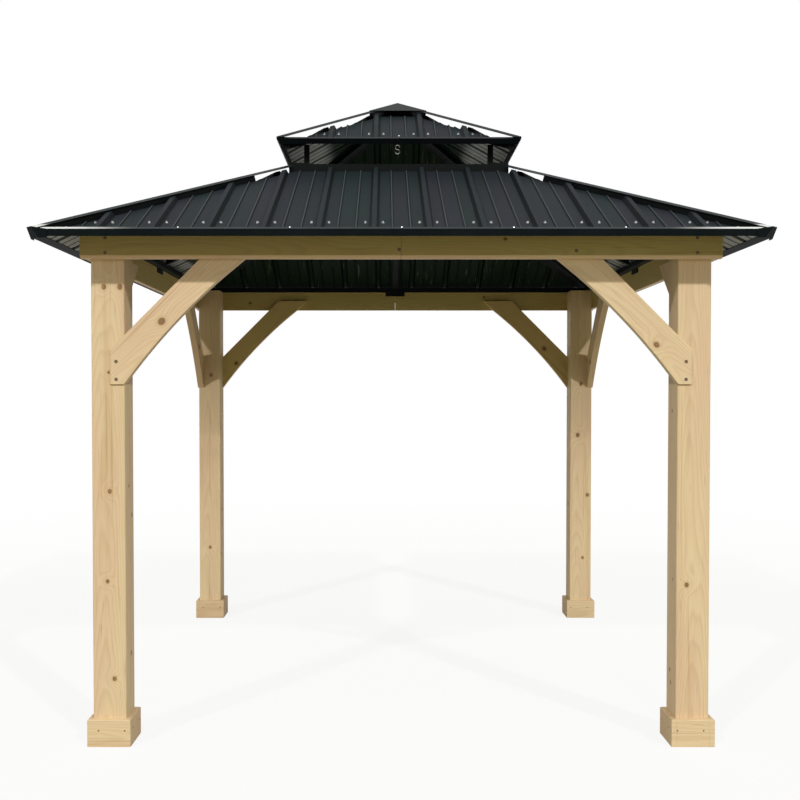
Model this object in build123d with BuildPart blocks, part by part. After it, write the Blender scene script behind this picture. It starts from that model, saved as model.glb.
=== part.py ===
from build123d import *

import math
import os
from dataclasses import dataclass

# Garden gazebo, an open frame of timber posts, lapped beams and curved braces under a
# two-tier pyramid roof of ribbed steel sheets. Millimetres, +Z up, the front faces -Y,
# and the origin is on the ground at the centre of the four posts.
os.makedirs("parts", exist_ok=True)

# Timber frame
post_side = 140.0
post_spacing = 2472.0
post_height = 2180.0
post_edge = 3.0
beam_thickness = 36.0
beam_drop = 120.0
beam_above = 4.0
beam_edge = 12.0
beam_seam = 1.5
brace_width = 132.0
brace_thickness = 38.0
brace_proud = 8.0
brace_reach = 505.0
brace_drop = 525.0
brace_lap = 58.0
brace_tuck = 60.0
brace_sagitta = 25.0
brace_edge = 2.0
pocket_play = 0.5
trim_thickness = 21.5
trim_height = 116.0
trim_joint = 0.5
trim_edge = 3.0

# Steel carcass of the roof
plate_width = 38.0
plate_depth = 27.0
rafter_width = 40.0
rafter_depth = 40.0
rafter_flange = 58.0
rafter_skin = 4.0
rafter_notch = 165.0
upper_rafter_depth = 30.0
mid_rafter_width = 37.0
mid_rafter_depth = 40.0
ring_half = 543.0
ring_width = 40.0
ring_below = 40.0
ring_above = 37.0
bracket_length = 128.0
bracket_depth = 26.0
bracket_thickness = 5.0
upright_side = 26.0
upright_inset = 82.0
foot_plate = 6.0
foot_margin = 8.0

# Roof slopes and overhangs
lower_pitch = 25.7
lower_overhang = 165.0
upper_pitch = 28.8
upper_overhang = 57.0
upper_opening = 125.0
vent_height = 85.0

# Roof sheets, with tall ribs a pitch apart and two low ribs between them
sheet_thickness = 2.0
rib_pitch = 225.0
rib_height = 20.0
rib_base = 42.0
rib_top = 20.0
low_rib_height = 5.0
low_rib_base = 14.0
low_rib_top = 6.0
rib_margin = 1.0
sheet_setback = 24.0
sheet_end_gap = 2.0

# Folded trims
fold = 2.0
eave_lip = 22.0
lip_clearance = 1.5
lower_shelf = 36.0
upper_shelf = 34.0
lower_lean = 5.0
upper_lean = 16.0
shelf_margin = 1.0
mitre_gap = 0.5
lower_clearance = 12.0
upper_clearance = 16.0
cap_end_gap = 2.0
lower_wing = 30.0
upper_wing = 29.0
upper_corner_cut = 4.0
corner_cut = 24.0
corner_cut_low = 46.0
corner_leg = 58.0
corner_peak = 9.0
corner_drop = 6.5
corner_skin = 3.0

# Apex, and the hook that hangs in the middle
hub_half = 67.0
hub_below = 22.0
cap_lap = 52.0
apex_half = 152.0
apex_skin = 3.0
hook_stem = 87.0
hook_radius = 12.0
hook_wire = 6.0

# Small gap left where one painted piece lies on another
seat = 0.3


@dataclass
class Tier:
    """One tier of the roof, measured by its half-size in plan."""

    eave: float
    top: float
    pitch: float
    shelf: float
    lean: float
    cap_rise: float
    wing: float
    cap_top: float
    pan: float = 0.0

    @property
    def rise(self):
        return math.tan(math.radians(self.pitch))

    @property
    def hip_angle(self):
        return math.atan(self.rise / math.sqrt(2))

    @property
    def fall(self):
        """Sideways fall of a sheet's plane in the section square to the hip."""
        return self.rise / math.sqrt(self.rise ** 2 + 2)

    @property
    def cap_drop(self):
        """How far the pans lie under the hip cap's ridge, square to the hip."""
        return self.cap_rise * math.cos(self.hip_angle)

    @property
    def steep(self):
        """Turns a thickness square to the slope into a height."""
        return 1 / math.cos(math.radians(self.pitch))

    def pan_z(self, half):
        return self.pan + (self.eave - half) * self.rise

    def under_z(self, half):
        return self.pan_z(half) - (sheet_thickness + seat * 0.5) * self.steep

    def cap_z(self, half):
        return self.pan_z(half) + self.cap_rise


# Places worked out from the sizes above
post_at = post_spacing / 2
post_inner = post_at - post_side / 2
post_outer = post_at + post_side / 2
beam_outer = post_outer + beam_thickness
beam_bottom = post_height - beam_drop
beam_top = post_height + beam_above
brace_near = brace_reach - brace_width * math.sqrt(2)
brace_foot = beam_bottom - brace_drop
plate_top = post_height + plate_depth

# Lower tier, whose hip rafters rest on the plate's corners
lower = Tier(eave=beam_outer + lower_overhang, top=ring_half, pitch=lower_pitch,
             shelf=lower_shelf, lean=lower_lean, cap_rise=rib_height + lower_clearance,
             wing=lower_wing, cap_top=ring_half + cap_end_gap)
lower_box_top = fold / math.cos(math.atan(lower.fall)) + rafter_width / 2 * lower.fall + seat
lower_box_bottom = lower_box_top + rafter_depth
lower_ridge = plate_top + seat + lower_box_bottom / math.cos(lower.hip_angle)
lower.pan = lower_ridge - lower.cap_rise - (lower.eave - post_outer) * lower.rise
ring_bottom = lower.pan_z(ring_half) - ring_below
ring_top = lower.pan_z(ring_half) + ring_above

# Upper tier, whose rafters lie flush under the sheets so that daylight shows below the caps
upper = Tier(eave=ring_half + upper_overhang, top=upper_opening, pitch=upper_pitch,
             shelf=upper_shelf, lean=upper_lean, cap_rise=rib_height + upper_clearance,
             wing=upper_wing, cap_top=apex_half - cap_lap, pan=ring_top + vent_height)
upper_box_top = upper.cap_drop + sheet_thickness + seat + rafter_width / 2 * upper.fall
upper_box_bottom = upper_box_top + upper_rafter_depth
upright_at = ring_half - upright_inset
apex_z = upper.cap_z(0) + apex_skin * upper.steep + seat

# Taller than the whole model, for cuts drawn in plan
tall = 2 * apex_z

SIDES = {"front": 0, "right": 90, "rear": 180, "left": 270}
NEIGHBOURS = {"front": ("left", "right"), "right": ("front", "rear"),
              "rear": ("right", "left"), "left": ("rear", "front")}
CORNERS = {"front_left": 0, "front_right": 90, "rear_right": 180, "rear_left": 270}


def save(shape, name):
    """Write one node under the name that it carries."""
    shape.label = name
    export_step(shape, f"parts/{name}.step")


def turned(shape, angle):
    """A piece made for the front, or the front left corner, turned to its own place."""
    return shape.rotate(Axis.Z, angle)


def save_at_corners(shape, prefix):
    for corner, angle in CORNERS.items():
        save(turned(shape, angle), f"{prefix}_{corner}")


def save_on_sides(shape, prefix):
    for side, angle in SIDES.items():
        save(turned(shape, angle), f"{prefix}_{side}")


def save_four(shape, name):
    """Four like pieces that don't touch, kept as one node."""
    save(Compound(children=[turned(shape, angle) for angle in SIDES.values()]), name)


def section_across(x):
    """A plane across the X axis, drawn in Y and Z."""
    return Plane(origin=(x, 0, 0), x_dir=(0, 1, 0), z_dir=(1, 0, 0))


def section_facing_front(y):
    """A plane facing the front, drawn in X and Z and extruded towards the rear."""
    return Plane(origin=(0, y, 0), x_dir=(1, 0, 0), z_dir=(0, -1, 0))


def section_square_to_hip(tier, half):
    """A plane square to the front left hip, with its origin on the hip cap's ridge."""
    return Plane(origin=(-half, -half, tier.cap_z(half)), x_dir=(-1, 1, 0),
                 z_dir=(1, 1, tier.rise))


def hip_length(tier, start, end):
    """Length along a hip between two half-sizes."""
    return (start - end) * math.sqrt(2 + tier.rise ** 2)


def brace_foot_corners(grow=0.0):
    """The two outer corners of a front left brace's foot, in X and Z."""
    outer = -post_inner - brace_lap - grow
    return (outer, brace_foot - grow), (outer, beam_bottom - brace_near - brace_lap + grow)


# Posts with a pocket for the foot of each of their two braces
pocket_depth = brace_thickness - brace_proud
pocket_faces = (
    (section_facing_front(-post_outer), -pocket_depth),
    (section_across(-post_outer), pocket_depth),
)
with BuildPart() as post:
    with BuildSketch() as post_section:
        with Locations((-post_at, -post_at)):
            Rectangle(post_side, post_side)
        chamfer(post_section.vertices(), post_edge)
    extrude(amount=post_height)
    pocket_low, pocket_high = brace_foot_corners(pocket_play)
    pocket_mouth = pocket_low[0] + brace_lap + pocket_play + post_edge
    for pocket_face, depth in pocket_faces:
        with BuildSketch(pocket_face):
            with BuildLine():
                Polyline(
                    pocket_low,
                    (pocket_mouth, pocket_low[1]),
                    (pocket_mouth, pocket_high[1] + pocket_mouth - pocket_low[0]),
                    pocket_high,
                    close=True,
                )
            make_face()
        extrude(amount=depth, mode=Mode.SUBTRACT)
save_at_corners(post.part, "post")

# Boxed trim boards round the foot of each post
trim_outer = post_side + 2 * trim_thickness
with BuildPart() as base_trim:
    for step in (-1, 1):
        offset_out = (post_side + trim_thickness) / 2 * step
        with BuildSketch():
            with Locations((-post_at, -post_at + offset_out)):
                Rectangle(trim_outer, trim_thickness)
            with Locations((-post_at + offset_out, -post_at)):
                Rectangle(trim_thickness, post_side - 2 * trim_joint)
        extrude(amount=trim_height)
    rim = base_trim.edges().filter_by(Plane.XY).group_by(Axis.Z)[-1]
    outer_rim = [
        edge for edge in rim
        if max(abs(abs(edge.center().X + post_at)), abs(abs(edge.center().Y + post_at)))
        > trim_outer / 2 - trim_joint
    ]
    chamfer(outer_rim, trim_edge)
save_at_corners(base_trim.part, "base_trim")


def beam_half(length):
    """The left half of a front beam, with its lower outer edge bevelled."""
    with BuildPart() as half:
        with BuildSketch(section_across(-length / 2)):
            with BuildLine():
                Polyline(
                    (-post_outer, beam_bottom),
                    (-post_outer, beam_top),
                    (-beam_outer, beam_top),
                    (-beam_outer, beam_bottom + beam_edge),
                    (-beam_outer + beam_edge, beam_bottom),
                    close=True,
                )
            make_face()
        extrude(amount=(length - beam_seam) / 2)
    return half.part


# Beams lapped on the outside of the posts, each in two lengths that meet at mid-span
for side, angle in SIDES.items():
    full = beam_outer if side in ("front", "rear") else post_outer
    left_half = beam_half(2 * full)
    right_half = mirror(left_half, about=Plane.YZ)
    save(Compound(children=[turned(left_half, angle), turned(right_half, angle)]),
         f"beam_{side}")

# Braces, with a straight upper edge, a hollow lower edge and a tongue behind the beam
foot_low, foot_high = brace_foot_corners()
brace_face = post_outer + brace_proud
with BuildPart() as brace:
    with BuildSketch(section_facing_front(-brace_face)):
        with BuildLine():
            tip = Line(
                (-post_inner + brace_reach + brace_tuck, beam_bottom + brace_tuck),
                (-post_inner + brace_reach, beam_bottom),
            )
            SagittaArc(tip @ 1, (-post_inner, brace_foot), -brace_sagitta)
            Polyline(
                (-post_inner, brace_foot),
                foot_low,
                foot_high,
                (-post_inner + brace_near + brace_tuck, beam_bottom + brace_tuck),
                tip @ 0,
            )
        make_face()
    extrude(amount=-brace_thickness)
    with BuildSketch(section_facing_front(-brace_face)):
        with Locations((-post_inner + brace_reach, beam_bottom + brace_tuck / 2)):
            Rectangle(2 * brace_reach, brace_tuck)
    extrude(amount=-brace_proud, mode=Mode.SUBTRACT)
    outer_face = brace.faces().filter_by(Plane.XZ).sort_by(Axis.Y)[0]
    chamfer(outer_face.edges().sort_by(SortBy.LENGTH)[-2:], brace_edge)
brace_mirrored = mirror(brace.part, about=Plane.YZ)
for side, angle in SIDES.items():
    left_name, right_name = NEIGHBOURS[side]
    save(turned(brace.part, angle), f"brace_{side}_{left_name}")
    save(turned(brace_mirrored, angle), f"brace_{side}_{right_name}")

# Steel plate on the post tops, held inside the beams
with BuildPart() as plate_front:
    with BuildSketch(Plane.XY.offset(post_height)):
        with Locations((0, -post_outer + plate_width / 2)):
            Rectangle(2 * post_outer, plate_width)
    extrude(amount=plate_depth)
with BuildPart() as plate_side:
    with BuildSketch(Plane.XY.offset(post_height)):
        with Locations((-post_outer + plate_width / 2, 0)):
            Rectangle(plate_width, 2 * (post_outer - plate_width - seat))
    extrude(amount=plate_depth)
save(
    Compound(children=[
        plate_front.part, turned(plate_front.part, 180),
        plate_side.part, turned(plate_side.part, 180),
    ]),
    "wall_plate",
)

# Splice brackets under the plate, across the seam of each beam
with BuildPart() as bracket:
    with BuildSketch(Plane.XY.offset(post_height - bracket_depth)):
        with Locations((0, -post_outer + bracket_thickness / 2)):
            Rectangle(bracket_length, bracket_thickness)
    extrude(amount=bracket_depth)
save_four(bracket.part, "splice_brackets")


def hip_rafter(tier, box_top, box_bottom, outer, inner):
    """A hip rafter with side flanges under the two sheets that meet over it."""
    middle = rafter_width / 2
    flange_top = tier.cap_drop + sheet_thickness + seat + middle * tier.fall
    flange_side = flange_top + (rafter_flange - middle) * tier.fall
    with BuildPart() as rafter:
        with BuildSketch(section_square_to_hip(tier, tier.eave)):
            with BuildLine():
                Polyline(
                    (-middle, -flange_top),
                    (middle, -flange_top),
                    (rafter_flange, -flange_side),
                    (rafter_flange, -flange_side - rafter_skin),
                    (middle, -flange_top - rafter_skin),
                    (-middle, -flange_top - rafter_skin),
                    (-rafter_flange, -flange_side - rafter_skin),
                    (-rafter_flange, -flange_side),
                    close=True,
                )
            make_face()
            with Locations((0, -(box_top + box_bottom) / 2)):
                Rectangle(rafter_width, box_bottom - box_top)
        extrude(amount=hip_length(tier, tier.eave, 0))
        with BuildSketch():
            with Locations((-outer / 2, -outer / 2)):
                Rectangle(outer, outer)
            with Locations((-inner / 2, -inner / 2)):
                Rectangle(inner, inner, mode=Mode.SUBTRACT)
        extrude(amount=tall, mode=Mode.INTERSECT)
    return rafter.part


# Lower hip rafters, standing up between the sheets, resting on the plate's corners and notched
# where they meet the ring
notch_start = ring_half + rafter_notch
notch_depth = lower.cap_drop + sheet_thickness + seat + rafter_width / 2 * lower.fall
with BuildPart() as lower_rafter:
    add(hip_rafter(
        lower, lower_box_top, lower_box_bottom, lower.eave - lower.shelf - seat,
        ring_half + seat,
    ))
    with BuildSketch(section_square_to_hip(lower, notch_start)):
        with Locations((0, -notch_depth / 2)):
            Rectangle(rafter_width, notch_depth)
    extrude(amount=hip_length(lower, notch_start, 0), mode=Mode.SUBTRACT)
save_four(lower_rafter.part, "hip_rafters")

# Rafters up the middle of each lower side
with BuildPart() as mid_rafter:
    with BuildSketch(section_across(-mid_rafter_width / 2)):
        with BuildLine():
            Polyline(
                (-lower.eave, lower.under_z(lower.eave)),
                (0, lower.under_z(0)),
                (0, lower.under_z(0) - mid_rafter_depth * lower.steep),
                (-lower.eave, lower.under_z(lower.eave) - mid_rafter_depth * lower.steep),
                close=True,
            )
        make_face()
    extrude(amount=mid_rafter_width)
    with BuildSketch():
        mid_outer = post_outer - plate_width - seat
        mid_inner = ring_half + seat
        with Locations((0, -(mid_outer + mid_inner) / 2)):
            Rectangle(2 * mid_rafter_width, mid_outer - mid_inner)
    extrude(amount=tall, mode=Mode.INTERSECT)
save_four(mid_rafter.part, "mid_rafters")

# Ring that closes the top of the lower tier
ring_depth = ring_top - ring_bottom
with BuildPart() as ring_front:
    with BuildSketch(Plane.XY.offset(ring_bottom)):
        with Locations((0, -ring_half + ring_width / 2)):
            Rectangle(2 * ring_half, ring_width)
    extrude(amount=ring_depth)
with BuildPart() as ring_side:
    with BuildSketch(Plane.XY.offset(ring_bottom)):
        with Locations((-ring_half + ring_width / 2, 0)):
            Rectangle(ring_width, 2 * (ring_half - ring_width - seat))
    extrude(amount=ring_depth)
save(
    Compound(children=[
        ring_front.part, turned(ring_front.part, 180),
        ring_side.part, turned(ring_side.part, 180),
    ]),
    "crown_ring",
)

# Upper hip rafters, from inside the eave trim to the hub
upper_rafter = hip_rafter(
    upper, upper_box_top, upper_box_bottom, upper.eave - upper.shelf - seat, hub_half + seat
)
save_four(upper_rafter, "upper_rafters")

# Uprights on foot plates at the ring's corners, which carry the upper tier
upright_reach = upright_at + upright_side / 2
upright_top = (
    upper.cap_z(upright_reach) - upper_box_bottom / math.cos(upper.hip_angle) - seat
)
plate_inner = upright_at - upright_side / 2 - foot_margin
with BuildPart() as upright:
    with BuildSketch(Plane.XY.offset(ring_top)):
        with Locations((-(ring_half + plate_inner) / 2, -(ring_half + plate_inner) / 2)):
            Rectangle(ring_half - plate_inner, ring_half - plate_inner)
    extrude(amount=foot_plate)
    with BuildSketch(Plane.XY.offset(ring_top + foot_plate)):
        with Locations((-upright_at, -upright_at)):
            Rectangle(upright_side, upright_side)
    extrude(amount=upright_top - ring_top - foot_plate)
save_four(upright.part, "vent_uprights")


def rib_points(left, right):
    """Top line of a ribbed sheet between two edges, as points across the slope."""
    points = [(left, 0.0)]
    count = int(right / rib_pitch) + 2
    ribs = []
    for step in range(-count, count + 1):
        centre = (step + 0.5) * rib_pitch
        ribs.append((centre, rib_base, rib_top, rib_height))
        for third in (1, 2):
            ribs.append((centre + third * rib_pitch / 3, low_rib_base, low_rib_top,
                         low_rib_height))
    for centre, base, top, height in sorted(ribs):
        if centre - base / 2 > left + rib_margin and centre + base / 2 < right - rib_margin:
            points += [
                (centre - base / 2, 0.0),
                (centre - top / 2, height),
                (centre + top / 2, height),
                (centre + base / 2, 0.0),
            ]
    points.append((right, 0.0))
    return points


def slope_start(sheet):
    """The square lower end of a sheet before it is cut plumb."""
    return sheet.faces().sort_by(Axis.Y)[0]


def roof_sheet(tier):
    """The front sheet of a tier, cut back from both hips."""
    low = tier.eave - tier.lean - fold - sheet_end_gap
    high = tier.top + seat
    back = sheet_setback * math.sqrt(2)
    half = low - back
    top_line = rib_points(-half, half)
    under_line = [(x, y - sheet_thickness) for x, y in reversed(top_line)]
    slope = Plane(
        origin=(0, -low, tier.pan_z(low)),
        x_dir=(-1, 0, 0),
        z_dir=(0, math.cos(math.radians(tier.pitch)), math.sin(math.radians(tier.pitch))),
    )
    with BuildPart() as sheet:
        with BuildSketch(slope):
            with BuildLine():
                Polyline(*top_line, *under_line, close=True)
            make_face()
        extrude(amount=(low - high) * tier.steep + rib_height)
        extrude(slope_start(sheet), amount=rib_height)
        with BuildSketch():
            with BuildLine():
                Polyline(
                    (-(low - back), -low),
                    (low - back, -low),
                    (high - back, -high),
                    (-(high - back), -high),
                    close=True,
                )
            make_face()
        extrude(amount=tall, mode=Mode.INTERSECT)
    return sheet.part


save_on_sides(roof_sheet(lower), "roof_sheet")
save_on_sides(roof_sheet(upper), "upper_sheet")


def trim_bottom(tier):
    """Lower edge of an eave trim's face, which leans in towards its foot."""
    return tier.pan_z(tier.eave - tier.lean) - (sheet_thickness + seat + fold) * tier.steep


def trim_top(tier):
    """Upper edge of an eave trim's face, whose lip clears the tall ribs."""
    return tier.pan_z(tier.eave) + (rib_height + lip_clearance + fold) * tier.steep


def eave_trim(tier, end):
    """Channel over the sheet ends, with a lip above, a shelf below and mitred ends."""
    skin = fold * tier.steep
    lean = tier.lean
    low = trim_bottom(tier)
    high = trim_top(tier)
    out = -tier.eave
    with BuildPart() as trim:
        with BuildSketch(section_across(-tier.eave)):
            with BuildLine():
                Polyline(
                    (out + lean, low),
                    (out, high),
                    (out + eave_lip, high + eave_lip * tier.rise),
                    (out + eave_lip, high + eave_lip * tier.rise - skin),
                    (out + fold, high + fold * tier.rise - skin),
                    (out + lean + fold, low + fold * tier.rise + skin),
                    (out + tier.shelf, low + (tier.shelf - lean) * tier.rise + skin),
                    (out + tier.shelf, low + (tier.shelf - lean) * tier.rise),
                    close=True,
                )
            make_face()
        extrude(amount=2 * tier.eave)
        with BuildSketch():
            with BuildLine():
                inner = tier.eave - tier.shelf - shelf_margin
                Polyline(
                    (-tier.eave + mitre_gap, -tier.eave),
                    (tier.eave - mitre_gap, -tier.eave),
                    (inner - mitre_gap, -inner),
                    (-inner + mitre_gap, -inner),
                    close=True,
                )
            make_face()
            Rectangle(2 * end, 2 * tier.eave, mode=Mode.INTERSECT)
        extrude(amount=tall, mode=Mode.INTERSECT)
    return trim.part


save_on_sides(eave_trim(lower, lower.eave - corner_cut_low), "eave_trim")
save_four(eave_trim(upper, upper.eave), "upper_eave_trim")

# Caps folded round the corners of the lower eave trim, whose facet leans in towards its foot
# and whose upper edge rises to the corner
cap_lean = lower.lean / (trim_top(lower) - trim_bottom(lower))
cap_foot = trim_bottom(lower) - corner_drop
cap_peak = trim_top(lower) + corner_peak
leg_end = lower.eave - corner_cut - corner_leg
with BuildPart() as corner_cap:
    for level, cut in ((cap_foot, corner_cut_low), (cap_peak, corner_cut)):
        cap_out = lower.eave + seat + corner_skin + (level - trim_top(lower)) * cap_lean
        with BuildSketch(Plane.XY.offset(level)):
            with BuildLine():
                bend = Polyline(
                    (-leg_end, -cap_out),
                    (-cap_out + cut, -cap_out),
                    (-cap_out, -cap_out + cut),
                    (-cap_out, -leg_end),
                )
                offset(bend, corner_skin, side=Side.RIGHT)
            make_face()
    loft(ruled=True)
    rim_plane = Plane(
        origin=(-leg_end, -cap_out, trim_top(lower)),
        x_dir=(1, -1, 0),
        z_dir=(corner_peak, corner_peak, corner_leg),
    )
    split(bisect_by=rim_plane, keep=Keep.BOTTOM)
save_four(corner_cap.part, "corner_caps")


def hip_cap(tier, outer, inner, cut):
    """A folded cap that bridges the open hip, trimmed to the eave's corner."""
    lean = math.atan(tier.fall)
    across = tier.wing * math.cos(lean)
    down = tier.wing * math.sin(lean)
    skin = fold / math.cos(lean)
    with BuildPart() as cap:
        with BuildSketch(section_square_to_hip(tier, outer)):
            with BuildLine():
                Polyline(
                    (0, 0),
                    (across, -down),
                    (across, -down - skin),
                    (0, -skin),
                    (-across, -down - skin),
                    (-across, -down),
                    close=True,
                )
            make_face()
        extrude(amount=hip_length(tier, outer, inner))
        with BuildSketch() as outline:
            Rectangle(2 * tier.eave, 2 * tier.eave)
            chamfer(outline.vertices(), cut)
        extrude(amount=tall, mode=Mode.INTERSECT)
    return cap.part


save_four(hip_cap(lower, lower.eave + lower.wing, lower.cap_top, corner_cut), "hip_caps")
save_four(
    hip_cap(upper, upper.eave + upper.wing, upper.cap_top, upper_corner_cut), "upper_hip_caps"
)

# Hub that the upper rafters meet, and the pyramid cap over it
apex_under = apex_z - apex_skin * upper.steep
hub_bottom = upper.cap_z(hub_half) - upper_box_bottom / math.cos(upper.hip_angle) - hub_below
hub_top = apex_under - hub_half * upper.rise - seat
with BuildPart() as hub:
    with BuildSketch(Plane.XY.offset(hub_bottom)):
        Rectangle(2 * hub_half, 2 * hub_half)
    extrude(amount=hub_top - hub_bottom)
save(hub.part, "apex_hub")

apex_height = apex_half * upper.rise
with BuildPart() as apex_cap:
    for peak, mode in ((apex_z, Mode.ADD), (apex_under, Mode.SUBTRACT)):
        with BuildSketch(Plane.XY.offset(peak - apex_height)):
            Rectangle(2 * apex_half, 2 * apex_half)
        extrude(amount=apex_height, taper=90 - upper.pitch, mode=mode)
save(apex_cap.part, "apex_cap")

# Hook in the shape of an S, on a stem under the hub
hook_top = hub_bottom - hook_stem
with BuildPart() as hook:
    with BuildLine(Plane.XZ) as hook_line:
        CenterArc((0, hook_top - hook_radius), hook_radius, 0, 270)
        CenterArc((0, hook_top - 3 * hook_radius), hook_radius, 90, -270)
    with BuildSketch(Plane(origin=hook_line.line @ 0, z_dir=hook_line.line % 0)):
        Circle(hook_wire / 2)
    sweep()
    with BuildSketch(Plane.XY.offset(hook_top)):
        Circle(hook_wire / 2)
    extrude(amount=hook_stem)
save(hook.part, "lamp_hook")
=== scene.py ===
import math
import random

import bmesh
import bpy
from mathutils import Matrix, Vector


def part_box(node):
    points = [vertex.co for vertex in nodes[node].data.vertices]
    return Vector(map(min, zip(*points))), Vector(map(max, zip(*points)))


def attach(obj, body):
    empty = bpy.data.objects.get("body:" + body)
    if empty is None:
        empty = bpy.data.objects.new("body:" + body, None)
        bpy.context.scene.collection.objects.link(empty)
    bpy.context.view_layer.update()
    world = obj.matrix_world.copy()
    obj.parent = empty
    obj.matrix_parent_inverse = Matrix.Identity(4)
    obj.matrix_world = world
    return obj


# Garden gazebo: timber posts, beams and braces under a two-tier roof of ribbed steel.
# Metres, +Z up, the front faces -Y.
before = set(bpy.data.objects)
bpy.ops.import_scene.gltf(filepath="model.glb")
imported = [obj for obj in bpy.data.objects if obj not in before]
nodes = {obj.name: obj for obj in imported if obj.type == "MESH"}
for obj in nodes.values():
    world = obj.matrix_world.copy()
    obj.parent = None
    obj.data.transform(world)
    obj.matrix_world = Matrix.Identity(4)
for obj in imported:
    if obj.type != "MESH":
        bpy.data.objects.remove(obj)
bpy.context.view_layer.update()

# Camera, fitted to the photograph
PHOTO_SIZE = 800
FOCAL_PX = 1013.9
CENTRE_PX = (385.3, 416.0)
SENSOR = 36.0
CAMERA_AT = (-0.0666, -5.5853, 1.4955)
CAMERA_DIP = 0.0221

# Light: each lamp's turn from the front, height, power and softness, with angles in degrees
LAMPS = {
    "key_left": (-34.0, 36.0, 1.13, 2.0),
    "key_right": (34.0, 36.0, 1.31, 2.0),
    "low_front": (0.0, 20.5, 0.30, 6.0),
}
FILL = 0.38
FILL_TINT = (1.0, 0.95, 0.70)

# The spot lamp for the right rear post, which is mirrored for the left one
REAR_CARD_AT = (0.95, -0.95, 0.55)
REAR_CARD_AIM = (1.236, 1.166, 0.50)
REAR_CARD_POWER = 48.0
REAR_CARD_CONE = 52.0
REAR_CARD_BLEND = 0.9
REAR_CARD_RADIUS = 0.25

# Floor: its white grows from the middle to full between two distances
FLOOR_RADIUS = 60.0
FLOOR_WHITE = 0.88
FLOOR_FADE = (3.0, 9.0)
FLOOR_SEEN = 0.9
FLOOR_BOUNCE = (0.37, 0.345, 0.26)

# Sizes read from the frame
POST_LOW, POST_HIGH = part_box("post_front_left")
POST_SIDE = POST_HIGH.x - POST_LOW.x
POST_OUTER = -POST_LOW.x
POST_INNER = POST_OUTER - POST_SIDE
POST_AT = POST_OUTER - POST_SIDE / 2
TRIM_LOW, TRIM_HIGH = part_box("base_trim_front_left")
BEAM_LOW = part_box("beam_front")[0]
BEAM_OUTER = -BEAM_LOW.y
BRACE_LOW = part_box("brace_front_left")[0]
BRACE_FACE = -BRACE_LOW.y
UPPER_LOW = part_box("upper_eave_trim")[0].z

# Sizes of the sheets and of the trim that is folded over their ends
SHEET_SKIN = 0.002
RIB_PITCH = 0.225
RIB_HEIGHT = 0.020
LIP = 0.022
LIP_CLEARANCE = 0.0015
FOLD = 0.002
SHEET_END = 0.004
PITCHES = {"roof_sheet": math.radians(25.7), "upper_sheet": math.radians(28.8)}

SIDE_TURNS = {"front": 0, "right": 90, "rear": 180, "left": 270}


# Shader helpers

class Nodes:
    """A node tree that is built up one short call at a time."""

    def __init__(self, tree):
        self.tree = tree

    def node(self, kind, *inputs, **settings):
        made = self.tree.nodes.new(kind)
        for key, value in settings.items():
            setattr(made, key, value)
        for index, value in enumerate(inputs):
            self.feed(made.inputs[index], value)
        return made

    def feed(self, socket, value):
        if value is None:
            return
        if isinstance(value, bpy.types.NodeSocket):
            self.tree.links.new(value, socket)
        else:
            socket.default_value = value

    def math(self, kind, *inputs):
        return self.node("ShaderNodeMath", *inputs, operation=kind).outputs[0]

    def vector(self, kind, *inputs):
        made = self.node("ShaderNodeVectorMath", *inputs, operation=kind)
        return made.outputs["Value" if kind in ("DOT_PRODUCT", "LENGTH") else "Vector"]

    def split(self, vector):
        """The X, Y and Z of a vector."""
        return self.node("ShaderNodeSeparateXYZ", vector).outputs

    def noise(self, point, scale, detail=2.0, roughness=0.5, output="Fac"):
        made = self.tree.nodes.new("ShaderNodeTexNoise")
        self.feed(made.inputs["Vector"], point)
        made.inputs["Scale"].default_value = scale
        made.inputs["Detail"].default_value = detail
        made.inputs["Roughness"].default_value = roughness
        return made.outputs[output]

    def stretched(self, point, scales, detail=2.0, roughness=0.5, output="Fac"):
        """Noise with a scale of its own along each axis."""
        return self.noise(self.vector("MULTIPLY", point, scales), 1.0, detail, roughness, output)

    def ramp(self, value, *stops):
        made = self.tree.nodes.new("ShaderNodeValToRGB")
        self.feed(made.inputs["Fac"], value)
        elements = made.color_ramp.elements
        while len(elements) < len(stops):
            elements.new(0.5)
        for element, (at, grey) in zip(elements, stops):
            element.position = at
            element.color = (grey, grey, grey, 1)
        return made.outputs["Color"]

    def between(self, value, low, high):
        """0 below low, 1 above high, smooth in between."""
        made = self.node("ShaderNodeMapRange", value, low, high, interpolation_type="SMOOTHSTEP")
        return made.outputs["Result"]

    def mix(self, share, first, second, blend="MIX"):
        made = self.tree.nodes.new("ShaderNodeMix")
        made.data_type = "RGBA"
        made.blend_type = blend
        self.feed(made.inputs["Factor"], share)
        colours = [socket for socket in made.inputs if socket.type == "RGBA"]
        for socket, value in zip(colours, (first, second)):
            self.feed(socket, (*value, 1) if isinstance(value, tuple) else value)
        return next(socket for socket in made.outputs if socket.type == "RGBA")

    def stain(self, colour, share, strength, tone):
        """Lay a tone over a colour, by a share from 0 to 1 times a strength."""
        return self.mix(self.math("MULTIPLY", share, strength), colour, tone)

    def seen(self):
        """1 for camera, glossy and transmission rays, 0 for those that carry light."""
        path = self.node("ShaderNodeLightPath").outputs
        seen = self.math("MAXIMUM", path["Is Camera Ray"], path["Is Glossy Ray"])
        return self.math("MAXIMUM", seen, path["Is Transmission Ray"])


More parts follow.
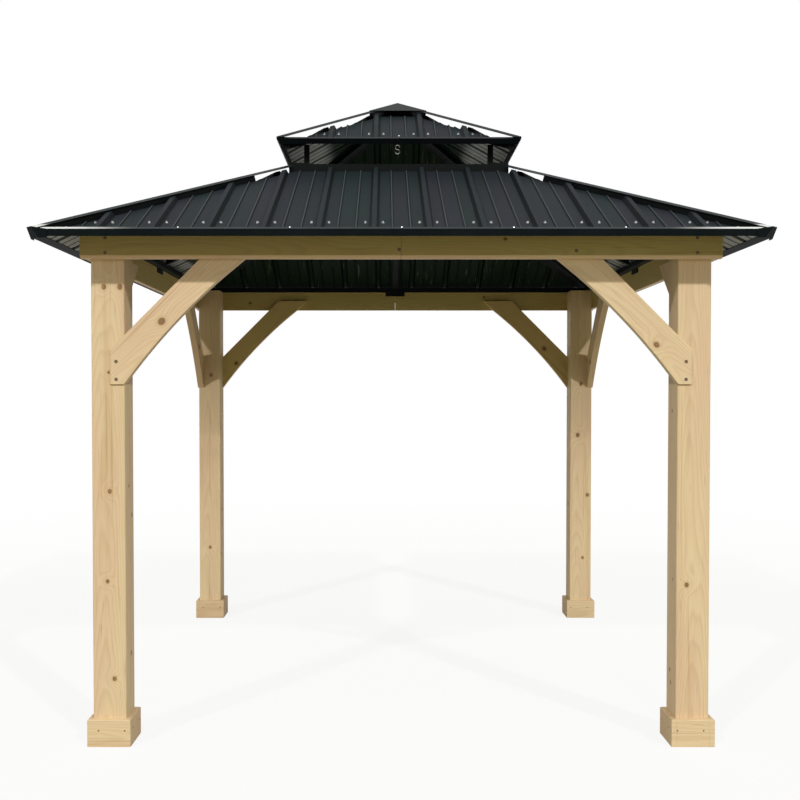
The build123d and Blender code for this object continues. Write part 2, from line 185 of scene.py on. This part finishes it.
class Shader(Nodes):
    """The nodes of a new material."""

    def __init__(self, name):
        self.material = bpy.data.materials.new(name)
        self.material.use_nodes = True
        super().__init__(self.material.node_tree)
        self.surface = self.tree.nodes["Principled BSDF"]
        self.out = self.tree.nodes["Material Output"]
        place = self.tree.nodes.new("ShaderNodeTexCoord")
        self.point = place.outputs["Object"]
        self.normal = place.outputs["Normal"]

    def bump(self, height, distance, strength):
        made = self.tree.nodes.new("ShaderNodeBump")
        made.inputs["Distance"].default_value = distance
        made.inputs["Strength"].default_value = strength
        self.feed(made.inputs["Height"], height)
        return made.outputs["Normal"]

    def finish(self, colour, roughness, normal=None, **uniform):
        self.feed(self.surface.inputs["Base Color"], colour)
        self.feed(self.surface.inputs["Roughness"], roughness)
        self.feed(self.surface.inputs["Normal"], normal)
        for name, value in uniform.items():
            self.surface.inputs[name.replace("_", " ")].default_value = value
        return self.material


# Timber

WOOD_LIGHT = (0.775, 0.612, 0.380)
WOOD_DARK = (0.56, 0.375, 0.185)
WOOD_PINK = (0.745, 0.545, 0.355)
KNOT_DARK = (0.115, 0.058, 0.022)
KNOT_RED = (0.36, 0.19, 0.085)
# Painted shade: tones multiplied into the upright faces of the beams under the eave and of the
# rear braces
BEAM_PAINTED_SHADE = (0.66, 0.69, 0.40)
REAR_BRACE_PAINTED_SHADE = (0.80, 0.80, 0.52)
RING_SPACING = 0.0048
RING_SWAY = 0.055
TAPER = 0.020
SEED_STEP = (3.1, 1.7, 7.3)

# How often each figure repeats in a metre: across the board, through it and along the grain
SWAY = (5.0, 5.0, 0.85)
STREAKS = (17.0, 17.0, 0.7)
PATCHES = (7.0, 7.0, 1.1)
FIBRES = (620.0, 620.0, 9.0)
FLECKS = (170.0, 170.0, 6.0)
LINES = (85.0, 85.0, 1.3)

# A knot is a little longer along the grain, and it lifts the rings around it less and less
KNOT_STRETCH = 0.85
KNOT_LIFT = 2.6
KNOT_FADE = -0.12
KNOT_HEART = (1.05, 0.75)
KNOT_HALO = (2.1, 0.9)

# The posts' knots: place across the face, height, radius, and 0 on the front or 1 on the sides
POST_KNOTS = {
    "front_left": (
        (0.005, 1.082, 0.0095, 0), (-0.0075, 0.70, 0.0085, 0), (0.020, 0.285, 0.0095, 0),
        (-0.016, 1.945, 0.011, 0), (0.052, 1.945, 0.012, 0), (0.002, 1.585, 0.006, 0),
        (0.01, 1.10, 0.007, 1),
    ),
    "front_right": ((-0.026, 0.685, 0.010, 0), (-0.02, 0.30, 0.008, 1), (0.02, 0.70, 0.006, 1)),
    "rear_right": (
        (0.0, 1.56, 0.012, 0), (-0.02, 1.22, 0.014, 0), (0.045, 0.82, 0.012, 0),
        (0.015, 0.40, 0.009, 0),
    ),
    "rear_left": ((0.01, 1.62, 0.012, 0), (0.0, 0.47, 0.010, 0)),
}
FRONT_BEAM_KNOT = (-0.018, 0.434, 0.007, 0)
BRACE_KNOTS = ((-0.047, -0.087, 0.016, 0), (0.025, -0.204, 0.013, 0))

# Each side's braces, from the left end of its beam to the right end, seen from outside
BRACE_ENDS = {
    "front": ("left", "right"),
    "right": ("front", "rear"),
    "rear": ("right", "left"),
    "left": ("rear", "front"),
}


def knot_group():
    """A knot: how much it lifts the growth rings around it, and how dark it is."""
    group = bpy.data.node_groups.new("knot", "ShaderNodeTree")
    for name, kind in (("Point", "NodeSocketVector"), ("Centre", "NodeSocketVector"),
                       ("Across", "NodeSocketVector"), ("Radius", "NodeSocketFloat")):
        group.interface.new_socket(name, in_out="INPUT", socket_type=kind)
    for name in ("Lift", "Heart", "Halo"):
        group.interface.new_socket(name, in_out="OUTPUT", socket_type="NodeSocketFloat")
    tree = Nodes(group)
    into = tree.node("NodeGroupInput").outputs
    out = tree.node("NodeGroupOutput").inputs
    away = tree.vector("SUBTRACT", into["Point"], into["Centre"])
    away = tree.vector("MULTIPLY", away, into["Across"])
    share = tree.math("DIVIDE", tree.vector("LENGTH", away), into["Radius"])
    fade = tree.math("MULTIPLY", tree.math("POWER", share, 2.0), KNOT_FADE)
    tree.feed(out["Lift"], tree.math("EXPONENT", fade))
    tree.feed(out["Heart"], tree.between(share, *KNOT_HEART))
    tree.feed(out["Halo"], tree.between(share, *KNOT_HALO))
    return group


KNOT = knot_group()


def timber(name, centre, along, face, heart, knots, seed, shade=None):
    """Softwood with growth rings about a heart line, knots, streaks and fine fibres.

    along is the grain, face points out of the piece's main face, heart is where the middle of
    the tree lies from the centre, across and behind the face, and each knot is given by its
    place across and along the face, its radius, and a turn of 0 on the main face or 1 on the
    faces beside it. seed gives each board a figure of its own, and shade is a painted shade:
    its tone darkens the upright faces of the boards that stand under the eave, where the eave's
    shade falls.
    """
    shader = Shader(name)
    along, face = Vector(along).normalized(), Vector(face).normalized()
    across = along.cross(face)
    offset = shader.vector("SUBTRACT", shader.point, tuple(centre))
    parts = [shader.vector("DOT_PRODUCT", offset, tuple(axis)) for axis in (across, face, along)]
    point = shader.node("ShaderNodeCombineXYZ", *parts).outputs[0]
    drift = shader.vector("ADD", point, tuple(seed * step for step in SEED_STEP))

    # Growth rings, which wander along the board and rise round the knots
    swing = shader.stretched(drift, SWAY, output="Color")
    swing = shader.vector("SUBTRACT", swing, (0.5, 0.5, 0.5))
    swing = shader.vector("MULTIPLY", swing, (RING_SWAY, RING_SWAY, 0.0))
    bent = shader.vector("ADD", point, swing)
    bent = shader.vector("SUBTRACT", bent, (*heart, 0.0))
    bent = shader.vector("MULTIPLY", bent, (1.0, 1.0, 0.0))
    narrowed = shader.math("MULTIPLY_ADD", parts[2], TAPER, shader.vector("LENGTH", bent))
    field = shader.math("DIVIDE", narrowed, RING_SPACING)
    hearts, halos = None, None
    for place_across, place_along, radius, turn in knots:
        knot = shader.node("ShaderNodeGroup", node_tree=KNOT)
        spot = (0, place_across) if turn else (place_across, 0)
        axes = (0, 1) if turn else (1, 0)
        shader.feed(knot.inputs["Point"], point)
        knot.inputs["Centre"].default_value = (*spot, place_along)
        knot.inputs["Across"].default_value = (*axes, KNOT_STRETCH)
        knot.inputs["Radius"].default_value = radius
        lifted = shader.math("MULTIPLY", knot.outputs["Lift"], KNOT_LIFT)
        field = shader.math("ADD", field, lifted)
        if hearts is None:
            hearts, halos = knot.outputs["Heart"], knot.outputs["Halo"]
        else:
            hearts = shader.math("MAXIMUM", hearts, knot.outputs["Heart"])
            halos = shader.math("MAXIMUM", halos, knot.outputs["Halo"])
    ring = shader.math("FRACT", field)
    ring_tone = shader.ramp(ring, (0.0, 0.12), (0.12, 0.0), (0.55, 0.25), (0.86, 1.0), (1.0, 0.3))

    # Streaks of other tone and fine fibres, drawn out along the grain
    streaks = shader.stretched(drift, STREAKS, 3.0, 0.55)
    patches = shader.stretched(drift, PATCHES)
    fibres = shader.stretched(drift, FIBRES, 2.0, 0.6)
    flecks = shader.stretched(drift, FLECKS, 1.0)
    lines = shader.stretched(drift, LINES)
    colour = shader.mix(shader.between(patches, 0.35, 0.68), WOOD_LIGHT, WOOD_PINK)
    colour = shader.stain(colour, ring_tone, 0.34, WOOD_DARK)
    colour = shader.stain(colour, shader.between(streaks, 0.52, 0.8), 0.45, WOOD_DARK)
    colour = shader.stain(colour, shader.between(flecks, 0.70, 0.78), 0.5, KNOT_RED)
    colour = shader.stain(colour, shader.between(lines, 0.60, 0.74), 0.34, KNOT_RED)
    grain = shader.ramp(fibres, (0.3, 0.93), (0.7, 1.05))
    colour = shader.mix(1.0, colour, grain, "MULTIPLY")
    if hearts is not None:
        colour = shader.stain(colour, halos, 0.45, WOOD_DARK)
        knot_rings = shader.math("FRACT", shader.math("MULTIPLY", field, 2.0))
        knot_colour = shader.mix(knot_rings, KNOT_RED, KNOT_DARK)
        colour = shader.stain(colour, hearts, 0.94, knot_colour)

    # Sawn ends soak up more stain
    facing = shader.vector("DOT_PRODUCT", shader.normal, tuple(along))
    ends = shader.between(shader.math("ABSOLUTE", facing), 0.8, 0.95)
    colour = shader.stain(colour, ends, 0.35, WOOD_DARK)
    # Painted shade: the shade tone darkens the upright faces, standing in for the eave's shade
    if shade:
        level = shader.math("ABSOLUTE", shader.split(shader.normal)[2])
        upright = shader.between(level, 0.6, 0.3)
        colour = shader.mix(upright, colour, shader.mix(1.0, colour, shade, "MULTIPLY"))

    roughness = shader.ramp(ring_tone, (0.0, 0.66), (1.0, 0.52))
    height = shader.math("MULTIPLY_ADD", ring_tone, 0.6, shader.math("MULTIPLY", fibres, 0.8))
    normal = shader.bump(height, 0.0005, 0.5)
    return shader.finish(colour, roughness, normal, Specular_IOR_Level=0.35)


def dress(name, material):
    """Give a CAD node its finish."""
    slots = nodes[name].data.materials
    slots.clear()
    slots.append(material)


def dress_board(name, *board):
    """Give a timber node a board of its own, which starts from the middle of its box."""
    low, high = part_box(name)
    label = name.replace("base_trim", "trim")
    dress(name, timber(f"timber_{label}", (low + high) / 2, *board))


def dress_posts(draw):
    """Posts with the knots that the photograph shows and two more on their sides."""
    middle = POST_HIGH.z / 2
    for corner, shown in POST_KNOTS.items():
        knots = [(x, z - middle, radius, turn) for x, z, radius, turn in shown]
        for _ in range(2):
            knots.append((draw.uniform(-0.045, 0.045), draw.uniform(-0.95, 0.6),
                          draw.uniform(0.007, 0.012), 1))
        dress_board(f"post_{corner}", (0, 0, 1), (0, -1, 0),
                    (draw.uniform(-0.02, 0.02), -0.06), knots, draw.random() * 9)
        dress_board(f"base_trim_{corner}", (1, 0, 0), (0, -1, 0),
                    (0.02, -0.07), (), draw.random() * 9)


def dress_beams(draw):
    """Beams with two knots each, or the one that the photograph shows, and their braces."""
    for side, turn in SIDE_TURNS.items():
        turned = Matrix.Rotation(math.radians(turn), 3, "Z")
        along, face = turned @ Vector((1, 0, 0)), turned @ Vector((0, -1, 0))
        knots = [(draw.uniform(-0.04, 0.04), x + draw.uniform(-0.12, 0.12),
                  draw.uniform(0.007, 0.011), 0) for x in (-0.60, 0.92)]
        if side == "front":
            knots = [FRONT_BEAM_KNOT]
        # The beams, and below them the rear braces, get painted shade on their upright faces
        dress_board(f"beam_{side}", along, face, (0.03, -0.09), knots, draw.random() * 9,
                    BEAM_PAINTED_SHADE)
        for end, lean, knot in zip(BRACE_ENDS[side], (1, -1), BRACE_KNOTS):
            dress_board(f"brace_{side}_{end}", turned @ Vector((lean, 0, 1)), face,
                        (0.01, -0.12), [knot], draw.random() * 9,
                        REAR_BRACE_PAINTED_SHADE if side == "rear" else None)


def dress_timber():
    draw = random.Random(7)
    dress_posts(draw)
    dress_beams(draw)


# Metal

# The top of a sheet: the two tints of its pans, the cloud and dust over them, painted shade on
# the rib flanks and a painted highlight along the low crests
PAN_GREEN = (0.0100, 0.0185, 0.0190)
PAN_BLUE = (0.0155, 0.0175, 0.0255)
PAN_CLOUD = (0.015, 0.018, 0.021)
PAN_DUST = (0.045, 0.052, 0.056)
FLANK_PAINTED_SHADE_TOP = (0.003, 0.005, 0.005)
CREST_PAINTED_HIGHLIGHT = (0.075, 0.085, 0.09)

# The underside of a sheet: primer below and above the vent, and painted shade inside the frame,
# near-black with light streaks
PRIMER_LOWER = (0.43, 0.475, 0.56)
PRIMER_UPPER = (0.43, 0.485, 0.60)
INSIDE_PAINTED_SHADE = (0.0095, 0.0215, 0.0125)
INSIDE_RUN = (0.125, 0.145, 0.120)
FLANK_PAINTED_SHADE_UNDER = (0.0030, 0.0065, 0.0040)

# Where the painted shade on the flanks and the painted highlight on the crests begin and end, and
# where the primer begins
FLANK_TILT = (0.50, 0.72)
CREST_EDGE = (0.016, 0.008)
PRIMER_BLUR = 0.03
UPPER_PRIMER = (0.34, 0.42)
RUNS_ALONG = 5.0
RUNS_ACROSS = 75.0

# Folded trim: its two blacks, painted sheen on its upward faces below and above the vent, and a
# painted pale highlight towards the corners
TRIM_DARK = (0.0025, 0.0050, 0.0055)
TRIM_LIGHT = (0.0050, 0.0075, 0.0085)
TRIM_PAINTED_SHEEN_LOWER = (0.019, 0.024, 0.026)
TRIM_PAINTED_SHEEN_UPPER = (0.0075, 0.0105, 0.0115)
TRIM_PAINTED_HIGHLIGHT = (0.74, 0.77, 0.79)
HIGHLIGHT_RIM = (1.46, 1.48)
HIGHLIGHT_CORNER = (1.06, 1.36)

STEEL_DARK = (0.0025, 0.0045, 0.0042)
STEEL_LIGHT = (0.0050, 0.0068, 0.0062)
ZINC = (0.62, 0.63, 0.62)


def aloft(shader, height):
    """1 in the upper tier and 0 below it."""
    return shader.between(height, UPPER_LOW - 0.01, UPPER_LOW)


def coated_sheet(name, across):
    """Charcoal coated steel whose pans differ a little in tone, with painted shade on the rib
    flanks and a painted highlight on the low crests, and under the sheet painted shade inside the
    frame.

    across names the axis that runs along the eave: 0 for X or 1 for Y.
    """
    shader = Shader(name)
    spot = shader.split(shader.point)
    normal = shader.split(shader.normal)
    steps = shader.math("DIVIDE", spot[across], RIB_PITCH)
    cloud = shader.noise(shader.point, 1.3, 3.0, 0.6)
    grain = shader.noise(shader.point, 520.0, 1.0)
    dust = shader.stretched(shader.point, (60.0, 60.0, 14.0))

    # Each pan between two ribs has its own tint
    pan = shader.math("FLOOR", shader.math("MULTIPLY_ADD", steps, 3.0, 0.5))
    chance = shader.node("ShaderNodeTexWhiteNoise", noise_dimensions="1D")
    shader.feed(chance.inputs["W"], pan)
    colour = shader.mix(chance.outputs["Value"], PAN_GREEN, PAN_BLUE)
    colour = shader.stain(colour, shader.between(cloud, 0.35, 0.65), 0.5, PAN_CLOUD)
    colour = shader.stain(colour, shader.between(dust, 0.58, 0.75), 0.2, PAN_DUST)

    # Painted shade on the flanks of every rib, and a painted highlight along the top of the low
    # ones
    flank = shader.between(shader.math("ABSOLUTE", normal[across]), *FLANK_TILT)
    colour = shader.stain(colour, flank, 0.75, FLANK_PAINTED_SHADE_TOP)
    middle = shader.math("ABSOLUTE", shader.math("SUBTRACT", shader.math("FRACT", steps), 0.5))
    away = shader.math("ABSOLUTE", shader.math("SUBTRACT", middle, 1.0 / 3.0))
    colour = shader.stain(colour, shader.between(away, *CREST_EDGE), 0.55, CREST_PAINTED_HIGHLIGHT)

    # Undersides: pale primer at the overhangs and in the upper tier; inside the frame, painted
    # shade, near-black with light streaks
    sides = shader.split(shader.vector("ABSOLUTE", shader.point))
    reach = shader.math("MAXIMUM", *sides[:2])
    pale_from = POST_INNER + 0.04 if across else BEAM_OUTER + 0.01
    pale = shader.between(reach, pale_from, pale_from + PRIMER_BLUR)
    if across:
        upper_pale = shader.math("MULTIPLY", aloft(shader, spot[2]),
                                 shader.between(reach, *UPPER_PRIMER))
        pale = shader.math("MAXIMUM", pale, upper_pale)
    primer = shader.mix(aloft(shader, spot[2]), PRIMER_LOWER, PRIMER_UPPER)
    run_scales = [RUNS_ALONG] * 3
    run_scales[across] = RUNS_ACROSS
    runs = shader.stretched(shader.point, tuple(run_scales))
    inside = shader.stain(INSIDE_PAINTED_SHADE, shader.between(runs, 0.63, 0.75), 0.60, INSIDE_RUN)
    under = shader.mix(pale, inside, primer)
    # Painted shade on the rib flanks underneath as well
    under = shader.stain(under, flank, 0.7, FLANK_PAINTED_SHADE_UNDER)

    # The two sides of a sheet differ in colour, roughness and gloss
    upper = shader.between(normal[2], -0.1, 0.1)
    colour = shader.mix(upper, under, colour)
    roughness = shader.math("MULTIPLY_ADD", upper, 0.30, 0.34)
    roughness = shader.math("MULTIPLY_ADD", cloud, 0.08, roughness)
    gloss = shader.math("MULTIPLY_ADD", upper, 0.085, 0.015)
    shader.feed(shader.surface.inputs["Specular IOR Level"], gloss)
    return shader.finish(colour, roughness, shader.bump(grain, 0.00025, 0.5))


def folded_trim():
    """Near-black folded trim; its faces that look up carry painted sheen, and towards the corners
    a painted pale highlight.
    """
    shader = Shader("black_trim")
    cloud = shader.noise(shader.point, 6.0, 3.0)
    grain = shader.noise(shader.point, 700.0, 1.0)
    upper = shader.between(shader.split(shader.normal)[2], 0.2, 0.6)
    sides = shader.split(shader.vector("ABSOLUTE", shader.point))
    rim = shader.between(shader.math("MAXIMUM", *sides[:2]), *HIGHLIGHT_RIM)
    corner = shader.between(shader.math("MINIMUM", *sides[:2]), *HIGHLIGHT_CORNER)
    corner = shader.math("MULTIPLY", corner, rim)
    colour = shader.mix(shader.between(cloud, 0.3, 0.7), TRIM_DARK, TRIM_LIGHT)
    # Painted sheen on the upward faces, paler below the vent, and a painted highlight on them
    # near the corners
    top_sheen = shader.mix(aloft(shader, shader.split(shader.point)[2]), TRIM_PAINTED_SHEEN_LOWER,
                       TRIM_PAINTED_SHEEN_UPPER)
    colour = shader.mix(upper, colour, shader.mix(corner, top_sheen, TRIM_PAINTED_HIGHLIGHT))
    roughness = shader.math("MULTIPLY_ADD", upper, -0.10, 0.50)
    roughness = shader.math("MULTIPLY_ADD", cloud, 0.08, roughness)
    return shader.finish(colour, roughness, shader.bump(grain, 0.00015, 0.4),
                         Specular_IOR_Level=0.05)


def black_steel():
    """Near-black steel of the rafters, the plate on the posts and the ring."""
    shader = Shader("black_steel")
    cloud = shader.noise(shader.point, 9.0, 3.0)
    grain = shader.noise(shader.point, 800.0, 1.0)
    colour = shader.mix(shader.between(cloud, 0.3, 0.7), STEEL_DARK, STEEL_LIGHT)
    roughness = shader.ramp(cloud, (0.3, 0.42), (0.7, 0.56))
    return shader.finish(colour, roughness, shader.bump(grain, 0.00015, 0.5),
                         Specular_IOR_Level=0.05)


def plated(name, tone, roughness, metallic=0.85):
    """Plated metal with a faint cloud in its tone and gloss."""
    shader = Shader(name)
    cloud = shader.noise(shader.point, 90.0)
    colour = shader.mix(cloud, tuple(0.85 * c for c in tone), tone)
    rough = shader.math("MULTIPLY_ADD", cloud, 0.15, roughness)
    return shader.finish(colour, rough, Metallic=metallic)


def dress_metal():
    sheets = [coated_sheet(f"charcoal_sheet_{axis}", i) for i, axis in enumerate("xy")]
    trim, steel = folded_trim(), black_steel()
    for i, side in enumerate(SIDE_TURNS):
        dress(f"roof_sheet_{side}", sheets[i % 2])
        dress(f"upper_sheet_{side}", sheets[i % 2])
        dress(f"eave_trim_{side}", trim)
    for name in ("upper_eave_trim", "corner_caps", "hip_caps", "upper_hip_caps", "apex_cap"):
        dress(name, trim)
    for name in ("wall_plate", "splice_brackets", "hip_rafters", "mid_rafters", "crown_ring",
                 "vent_uprights", "upper_rafters", "apex_hub"):
        dress(name, steel)
    dress("lamp_hook", plated("zinc", ZINC, 0.30))


# Fasteners, one joined mesh for each kind

BARE_METAL = (0.82, 0.83, 0.82)
DARK_METAL = (0.15, 0.095, 0.055)

# Roof screws: each tier's distance back from the sheet's end, and its tall ribs on each half
SCREW_ROWS = {"roof_sheet": (0.150, 6), "upper_sheet": (0.138, 2)}
SCREW_FROM_RIB = 0.036
SCREW_FROM_HIP = 0.03

# Lip screws: each tier's trim, and how many stand on each side of the middle one
LIP_ROWS = {"roof_sheet": ("eave_trim_front", 3), "upper_sheet": ("upper_eave_trim", 1)}

# Places across and up from the lower edge of the beam
BEAM_SCREWS = (
    (-1.236, 0.024), (-1.236, 0.086), (1.236, 0.024), (1.236, 0.086),
    (-0.009, 0.037), (-0.009, 0.103),
    (0.731, 0.032),
)
BRACE_SCREW_IN = 0.034
BRACE_SCREWS_UP = (0.020, 0.095)
NAILS_OUT = (0.044, -0.067)
NAIL_HEIGHT = 0.070


def shaped(name, build):
    """A mesh made by a function that fills an empty bmesh."""
    bm = bmesh.new()
    build(bm)
    mesh = bpy.data.meshes.new(name)
    bm.to_mesh(mesh)
    bm.free()
    return mesh


def add_object(name, data):
    made = bpy.data.objects.new(name, data)
    bpy.context.scene.collection.objects.link(made)
    return made


def disc(bm, segments, foot, top, height, base=0.0):
    """A low round or many-sided head with its foot at the given height."""
    place = Matrix.Translation((0, 0, base + height / 2))
    bmesh.ops.create_cone(bm, cap_ends=True, segments=segments, radius1=foot, radius2=top,
                          depth=height, matrix=place)


def step_top(bm, faces, thickness, rise):
    """Inset the top faces and move them up, or down to make a recess."""
    bmesh.ops.inset_region(bm, faces=faces, thickness=thickness, use_even_offset=True)
    for vert in {v for f in faces for v in f.verts}:
        vert.co.z += rise


def washer_screw(bm):
    """Hexagon head on a round washer, for the roof sheets."""
    disc(bm, 14, 0.0062, 0.0056, 0.0016)
    disc(bm, 6, 0.0044, 0.0040, 0.0042, 0.0016)


def lip_screw(bm):
    """Small domed rivet head, for the lips of the trim."""
    disc(bm, 12, 0.0042, 0.0026, 0.0022)


def trim_nail(bm):
    """Small flat head, for the boxed feet."""
    disc(bm, 12, 0.0036, 0.0032, 0.0006)


def timber_screw(bm):
    """Flat head with a recess, just proud of the timber."""
    disc(bm, 16, 0.0076, 0.0072, 0.0008)
    top = [f for f in bm.faces if f.normal.z > 0.9]
    step_top(bm, top, 0.0012, 0.0002)
    step_top(bm, top, 0.0030, -0.0008)


def scatter(name, build, places, material):
    """Copy a small shape to each place, with its axis along the given normal."""
    mesh = shaped("template", build)
    bm = bmesh.new()
    for point, normal in places:
        start = len(bm.verts)
        bm.from_mesh(mesh)
        bm.verts.ensure_lookup_table()
        turn = Vector(normal).to_track_quat("Z", "Y").to_matrix().to_4x4()
        bmesh.ops.transform(bm, matrix=Matrix.Translation(point) @ turn,
                            verts=bm.verts[start:])
    made = bpy.data.meshes.new(name)
    bm.to_mesh(made)
    bm.free()
    piece = add_object(name, made)
    made.materials.append(material)
    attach(piece, "root")


def on_all_sides(places):
    """Places on the front, turned to all four sides."""
    made = []
    for turn in SIDE_TURNS.values():
        spin = Matrix.Rotation(math.radians(turn), 3, "Z")
        made += [(spin @ Vector(point), spin @ Vector(normal)) for point, normal in places]
    return made


def slope_normal(sheet):
    pitch = PITCHES[sheet]
    return 0, -math.sin(pitch), math.cos(pitch)


def roof_screws():
    """Pairs on the pans, one on each side of a tall rib and clear of the hips."""
    places = []
    for sheet, (back, count) in SCREW_ROWS.items():
        low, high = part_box(f"{sheet}_front")
        pitch = PITCHES[sheet]
        height = low.z + (SHEET_SKIN / math.cos(pitch) + back * math.tan(pitch))
        for step in range(-count, count):
            centre = (step + 0.5) * RIB_PITCH
            for side in (-SCREW_FROM_RIB, SCREW_FROM_RIB):
                if abs(centre + side) < high.x - back - SCREW_FROM_HIP:
                    places.append(((centre + side, low.y + back, height), slope_normal(sheet)))
    return places


def lip_top(sheet):
    """Upper edge of an eave trim's face: the pans' height there and the lip's stand-off."""
    low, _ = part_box(f"{sheet}_front")
    pitch = PITCHES[sheet]
    stand_off = (RIB_HEIGHT + LIP_CLEARANCE + FOLD) / math.cos(pitch)
    return low.z + SHEET_SKIN / math.cos(pitch) - SHEET_END * math.tan(pitch) + stand_off


def lip_screws():
    """Rivet heads along the lips, two rib pitches apart, from the middle outwards."""
    places = []
    for sheet, (trim, count) in LIP_ROWS.items():
        low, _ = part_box(trim)
        height = lip_top(sheet) + LIP / 2 * math.tan(PITCHES[sheet])
        for step in range(-count, count + 1):
            point = (step * 2 * RIB_PITCH, low.y + LIP / 2, height)
            places.append((point, slope_normal(sheet)))
    return places


def beam_screws():
    """Pairs over the posts and beside the seam, and one between them."""
    return [((x, -BEAM_OUTER, BEAM_LOW.z + up), (0, -1, 0)) for x, up in BEAM_SCREWS]


def brace_screws():
    """Pairs in the foot of each brace."""
    out = POST_INNER + BRACE_SCREW_IN
    return [((side * out, -BRACE_FACE, BRACE_LOW.z + up), (0, -1, 0))
            for side in (-1, 1) for up in BRACE_SCREWS_UP]


def trim_nails():
    """Two nails in the front and two in the back of each foot at the front."""
    faces = ((TRIM_LOW.y, (0, -1, 0)), (TRIM_HIGH.y, (0, 1, 0)))
    return [((side * (POST_AT + out), y, NAIL_HEIGHT), normal)
            for side in (-1, 1) for out in NAILS_OUT for y, normal in faces]


def add_fasteners():
    bare = plated("bare_screws", BARE_METAL, 0.30)
    dark = plated("dark_screws", DARK_METAL, 0.45, 0.3)
    scatter("roof_screws", washer_screw, on_all_sides(roof_screws()), bare)
    scatter("lip_screws", lip_screw, on_all_sides(lip_screws()), bare)
    scatter("timber_screws", timber_screw, on_all_sides(beam_screws() + brace_screws()),
            dark)
    scatter("trim_nails", trim_nail, on_all_sides(trim_nails()), dark)


# Studio

def floor_disc(bm):
    bmesh.ops.create_circle(bm, cap_ends=True, segments=96, radius=FLOOR_RADIUS)


def add_floor():
    """A pale floor that shows white where it is seen and keeps the gazebo's shadow."""
    mesh = shaped("floor", floor_disc)
    add_object("floor", mesh)
    shader = Shader("pale_floor")
    far = shader.vector("LENGTH", shader.point)
    share = shader.node("ShaderNodeMapRange", far, *FLOOR_FADE, FLOOR_WHITE, 1.0).outputs[0]
    seen = shader.seen()
    colour = shader.mix(seen, FLOOR_BOUNCE, (FLOOR_SEEN,) * 3)
    material = shader.finish(colour, 0.9, Specular_IOR_Level=0.0)
    white = shader.node("ShaderNodeEmission").outputs[0]
    mixed = shader.node("ShaderNodeMixShader", shader.math("MULTIPLY", seen, share),
                        shader.surface.outputs[0], white)
    shader.feed(shader.out.inputs["Surface"], mixed.outputs[0])
    mesh.materials.append(material)


def add_sky():
    """White where it is seen, and a dimmer tinted fill where it lights the gazebo."""
    world = bpy.data.worlds.new("studio")
    bpy.context.scene.world = world
    world.use_nodes = True
    sky = Nodes(world.node_tree)
    back = sky.tree.nodes["Background"].inputs
    seen = sky.seen()
    level = sky.node("ShaderNodeMapRange", seen, 0.0, 1.0, FILL, 1.0).outputs[0]
    sky.feed(back["Strength"], level)
    sky.feed(back["Color"], sky.mix(seen, FILL_TINT, (1.0, 1.0, 1.0)))


def add_lamps():
    for name, (turn, height, power, softness) in LAMPS.items():
        turn, height = math.radians(turn), math.radians(height)
        lamp = bpy.data.lights.new(name, "SUN")
        lamp.energy = power
        lamp.angle = math.radians(softness)
        towards = Vector((math.sin(turn) * math.cos(height), -math.cos(turn) * math.cos(height),
                          math.sin(height)))
        add_object(name, lamp).rotation_euler = towards.to_track_quat("Z", "Y").to_euler()


def add_rear_cards():
    """A soft lamp low inside the frame for each rear post, where the key lamps don't reach."""
    for name, side in (("rear_card_left", -1), ("rear_card_right", 1)):
        place = Vector((side * REAR_CARD_AT[0], *REAR_CARD_AT[1:]))
        aim = Vector((side * REAR_CARD_AIM[0], *REAR_CARD_AIM[1:]))
        lamp = bpy.data.lights.new(name, "SPOT")
        lamp.energy = REAR_CARD_POWER
        lamp.spot_size = math.radians(REAR_CARD_CONE)
        lamp.spot_blend = REAR_CARD_BLEND
        lamp.shadow_soft_size = REAR_CARD_RADIUS
        holder = add_object(name, lamp)
        holder.location = place
        holder.rotation_euler = (place - aim).to_track_quat("Z", "Y").to_euler()
        holder.visible_camera = False
        holder.visible_glossy = False


def add_camera():
    data = bpy.data.cameras.new("camera")
    camera = add_object("camera", data)
    data.sensor_width = SENSOR
    data.lens = FOCAL_PX / PHOTO_SIZE * SENSOR
    data.shift_x = (PHOTO_SIZE / 2 - CENTRE_PX[0]) / PHOTO_SIZE
    data.shift_y = (CENTRE_PX[1] - PHOTO_SIZE / 2) / PHOTO_SIZE
    camera.location = CAMERA_AT
    camera.rotation_euler = (math.pi / 2 - CAMERA_DIP, 0, 0)
    bpy.context.scene.camera = camera


add_camera()
add_floor()
add_sky()
add_lamps()
add_rear_cards()
dress_timber()
dress_metal()
add_fasteners()
bpy.context.scene.view_settings.view_transform = "Standard"
